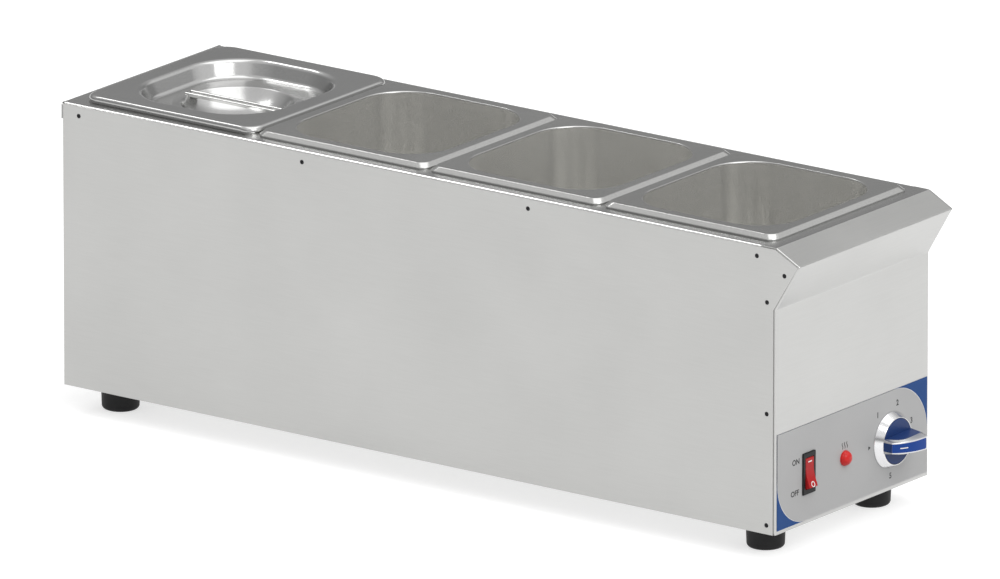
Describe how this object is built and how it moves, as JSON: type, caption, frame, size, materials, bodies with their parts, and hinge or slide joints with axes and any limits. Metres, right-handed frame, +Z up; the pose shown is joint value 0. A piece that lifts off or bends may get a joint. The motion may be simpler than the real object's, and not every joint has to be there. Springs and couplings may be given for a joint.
{
  "type": "bain-marie",
  "caption": "Narrow-front counter-top bain-marie: steel casing on rubber feet, lift-out pans in a row over a water tank, recessed lid, dial, rocker switch and pilot lamp.",
  "frame": {"origin": "on the table, under the centre of the part's bounding box", "axes": "+Z up, +Y from the control panel to the back, +X to the right as seen from the front"},
  "size_m": [0.202, 0.726, 0.2534],
  "materials": {
    "casing_steel": "fine linear brushing, satin",
    "pan_steel": "drawn sheet, bright satin with polished rim",
    "lid_steel": "drawn sheet, bright satin",
    "handle_steel": "folded strip, brushed",
    "tank_steel": "mill finish sheet",
    "zinc_steel": "zinc plated",
    "black_screws": "black oxide",
    "foot_rubber": "moulded, matt",
    "mineral_board": "pressed mineral fibre board",
    "element_sheath": "heat-tinted sheath",
    "copper_tube": "drawn capillary tube and bulb",
    "thermostat_body": "moulded body",
    "shaft_brass": "turned",
    "knob_chrome": "chrome plated",
    "knob_blue": "semi-gloss",
    "knob_silver": "silver lacquer on plastic",
    "inlay_blue": "semi-gloss inlay with a white pointer line",
    "black_plastic": "moulded, fine grain",
    "rocker_red": "translucent red, lit",
    "lamp_red": "ribbed translucent lens",
    "label_film": "printed film in grey with blue corners",
    "ceramic_white": "unglazed",
    "wire_cover": "silicone insulation",
    "gland_plastic": "moulded polyamide"
  },
  "bodies": {
    "casing": {"top_deck": "casing_steel", "front_panel": "casing_steel", "side_panel_left": "casing_steel", "side_panel_right": "casing_steel", "rear_panel": "casing_steel", "base_tray": "casing_steel", "foot_front_left": "foot_rubber", "foot_front_right": "foot_rubber", "foot_rear_left": "foot_rubber", "foot_rear_right": "foot_rubber", "foot_screws": "zinc_steel", "foot_nuts": "zinc_steel", "side_screws": "black_screws", "water_tank": "tank_steel", "insulation_boards": "mineral_board", "heating_element": "element_sheath", "clamp_bars": "zinc_steel", "clamp_studs": "zinc_steel", "clamp_nuts": "zinc_steel", "capillary_sensor": "copper_tube", "sensor_clips": "zinc_steel", "thermostat": "thermostat_body", "thermostat_screws": "zinc_steel", "knob_ring": "knob_chrome", "switch_housing": "black_plastic", "lamp_lens": "lamp_red", "lamp_body": "black_plastic", "lamp_clip": "zinc_steel", "control_label": "label_film", "terminal_block": "ceramic_white", "terminal_screws": "shaft_brass", "earth_stud": "shaft_brass", "wiring": "wire_cover", "gland_body": "gland_plastic", "gland_lock_nut": "gland_plastic", "gland_cap_nut": "gland_plastic", "gland_seal": "foot_rubber"},
    "knob": {"thermostat_shaft": "shaft_brass", "knob_disc": "knob_blue", "knob_grip": "knob_silver", "knob_inlay": "inlay_blue"},
    "rocker": {"switch_rocker": "rocker_red"},
    "front_pan": {"pan_1": "pan_steel"},
    "second_pan": {"pan_2": "pan_steel"},
    "third_pan": {"pan_3": "pan_steel"},
    "rear_pan": {"pan_4": "pan_steel"},
    "pan_lid": {"lid": "lid_steel", "lid_handle": "handle_steel"}
  },
  "joints": [
    {"name": "knob_turn", "type": "hinge", "parent": "casing", "child": "knob", "pos_m": [0.0497, -0.3358, 0.061], "axis": [0, 1, 0], "range_deg": [0, 270]},
    {"name": "rocker_tilt", "type": "hinge", "parent": "casing", "child": "rocker", "pos_m": [-0.0577, -0.3353, 0.061], "axis": [1, 0, 0], "range_deg": [0, 20]},
    {"name": "front_pan_lift", "type": "slide", "parent": "casing", "child": "front_pan", "axis": [0, 0, 1], "range_m": [0, 0.17]},
    {"name": "second_pan_lift", "type": "slide", "parent": "casing", "child": "second_pan", "axis": [0, 0, 1], "range_m": [0, 0.17]},
    {"name": "third_pan_lift", "type": "slide", "parent": "casing", "child": "third_pan", "axis": [0, 0, 1], "range_m": [0, 0.17]},
    {"name": "rear_pan_lift", "type": "slide", "parent": "casing", "child": "rear_pan", "axis": [0, 0, 1], "range_m": [0, 0.17]},
    {"name": "lid_lift", "type": "slide", "parent": "rear_pan", "child": "pan_lid", "axis": [0, 0, 1], "range_m": [0, 0.08]}
  ]
}
